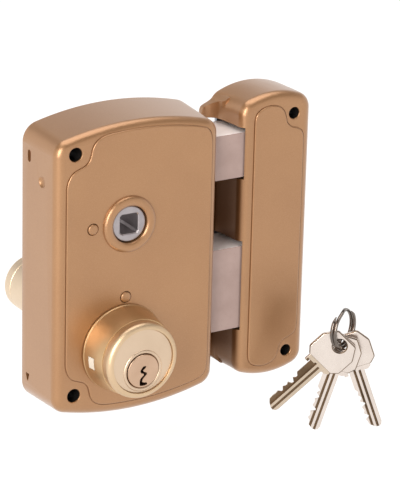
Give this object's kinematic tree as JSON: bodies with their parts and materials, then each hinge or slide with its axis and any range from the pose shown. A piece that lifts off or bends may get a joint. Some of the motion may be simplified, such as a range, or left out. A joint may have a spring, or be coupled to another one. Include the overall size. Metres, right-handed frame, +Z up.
{
  "type": "rim night latch",
  "caption": "Surface-mounted rim lock: arched case with spring latch and deadbolt, key cylinders on both sides, box keeper, and keys on a split ring.",
  "frame": {"origin": "centre of the case's back face, on the plane where it meets the door", "axes": "+X towards the keeper, +Y into the door, +Z up"},
  "size_m": [0.1817, 0.1376, 0.1827],
  "materials": {
    "gold_paint": "satin metallic paint",
    "brass": "satin",
    "zinc": "zinc plated",
    "bolt_plating": "plated, ground",
    "steel": "plated",
    "spring_steel": "drawn wire",
    "ring_steel": "polished",
    "key_nickel": "nickel silver, milled"
  },
  "bodies": {
    "case": {"case_shell": "gold_paint", "back_plate": "steel", "back_plate_screw_1": "steel", "back_plate_screw_2": "steel", "back_plate_screw_3": "steel", "back_plate_screw_4": "steel", "latch_spring_lug": "steel", "latch_guide": "steel", "latch_spring": "spring_steel", "follower_stop_pin": "gold_paint", "deadbolt_guide_post": "steel", "detent_pivot_pin": "gold_paint", "detent_spring": "spring_steel", "cylinder_collar": "brass", "cylinder_cap": "brass", "inner_cylinder_body": "brass", "driver_pin_1": "steel", "driver_pin_2": "steel", "driver_pin_3": "steel", "driver_pin_4": "steel", "driver_pin_5": "steel", "outer_cylinder_body": "brass", "outer_cylinder_screw_1": "steel", "outer_cylinder_screw_2": "steel"},
    "latch": {"latch_bolt": "bolt_plating"},
    "follower": {"follower": "zinc"},
    "deadbolt": {"deadbolt": "bolt_plating"},
    "inner_plug": {"inner_plug": "brass", "cam": "steel", "tail_clip": "steel", "key_pin_1": "brass", "key_pin_2": "brass", "key_pin_3": "brass", "key_pin_4": "brass", "key_pin_5": "brass"},
    "outer_plug": {"outer_plug": "brass", "tailpiece": "steel"},
    "detent_lever": {"detent_lever": "steel"},
    "keeper": {"keeper_shell": "gold_paint", "keeper_back_plate": "steel", "keeper_plate_screw_1": "steel", "keeper_plate_screw_2": "steel"},
    "key_ring": {"key_ring": "ring_steel"},
    "key_front": {"key_front": "key_nickel"},
    "key_middle": {"key_middle": "key_nickel"},
    "key_back": {"key_back": "key_nickel"}
  },
  "joints": [
    {"name": "latch_slide", "type": "slide", "parent": "case", "child": "latch", "axis": [-1, 0, 0], "range_m": [0, 0.02678], "stiffness_N_per_m": 300, "springref_m": -0.01, "deforming": ["latch_spring"]},
    {"name": "follower_turn", "type": "hinge", "parent": "case", "child": "follower", "pos_m": [-0.0057, -0.02, 0.024], "axis": [0, -1, 0], "range_deg": [0, 62]},
    {"name": "deadbolt_slide", "type": "slide", "parent": "case", "child": "deadbolt", "axis": [-1, 0, 0], "range_m": [0, 0.027]},
    {"name": "inner_plug_turn", "type": "hinge", "parent": "case", "child": "inner_plug", "pos_m": [-0.0086, -0.04, -0.0478], "axis": [0, -1, 0], "range_deg": [0, 720]},
    {"name": "outer_plug_turn", "type": "hinge", "parent": "case", "child": "outer_plug", "pos_m": [-0.0086, 0.03, -0.0478], "axis": [0, -1, 0], "range_deg": [0, 720]},
    {"name": "detent_lift", "type": "hinge", "parent": "case", "child": "detent_lever", "pos_m": [-0.0071, -0.022, -0.0154], "axis": [0, 1, 0], "range_deg": [0, 8], "stiffness_Nm_per_rad": 0.1, "springref_deg": -17.19, "deforming": ["detent_spring"]},
    {"name": "keeper_lift_off", "type": "slide", "parent": "case", "child": "keeper", "axis": [1, 0, 0], "range_m": [0, 0.05]},
    {"name": "key_ring_lift_off", "type": "slide", "parent": "case", "child": "key_ring", "axis": [0, -1, 0], "range_m": [0, 0.05]},
    {"name": "key_front_swing", "type": "hinge", "parent": "key_ring", "child": "key_front", "pos_m": [0.10783, -0.06143, -0.0541], "axis": [-0.515, -0.8572, 0], "range_deg": [-5, 60]},
    {"name": "key_middle_swing", "type": "hinge", "parent": "key_ring", "child": "key_middle", "pos_m": [0.1105, -0.06, -0.0546], "axis": [-0.515, -0.8572, 0], "range_deg": [-30, 30]},
    {"name": "key_back_swing", "type": "hinge", "parent": "key_ring", "child": "key_back", "pos_m": [0.11534, -0.05836, -0.0551], "axis": [-0.515, -0.8572, 0], "range_deg": [-60, 20]}
  ],
  "couplings": [
    {"joint": "follower_turn", "follows": "latch_slide", "rad_per_m": 40.4},
    {"joint": "inner_plug_turn", "follows": "deadbolt_slide", "rad_per_m": 465.4},
    {"joint": "outer_plug_turn", "follows": "deadbolt_slide", "rad_per_m": 465.4}
  ]
}
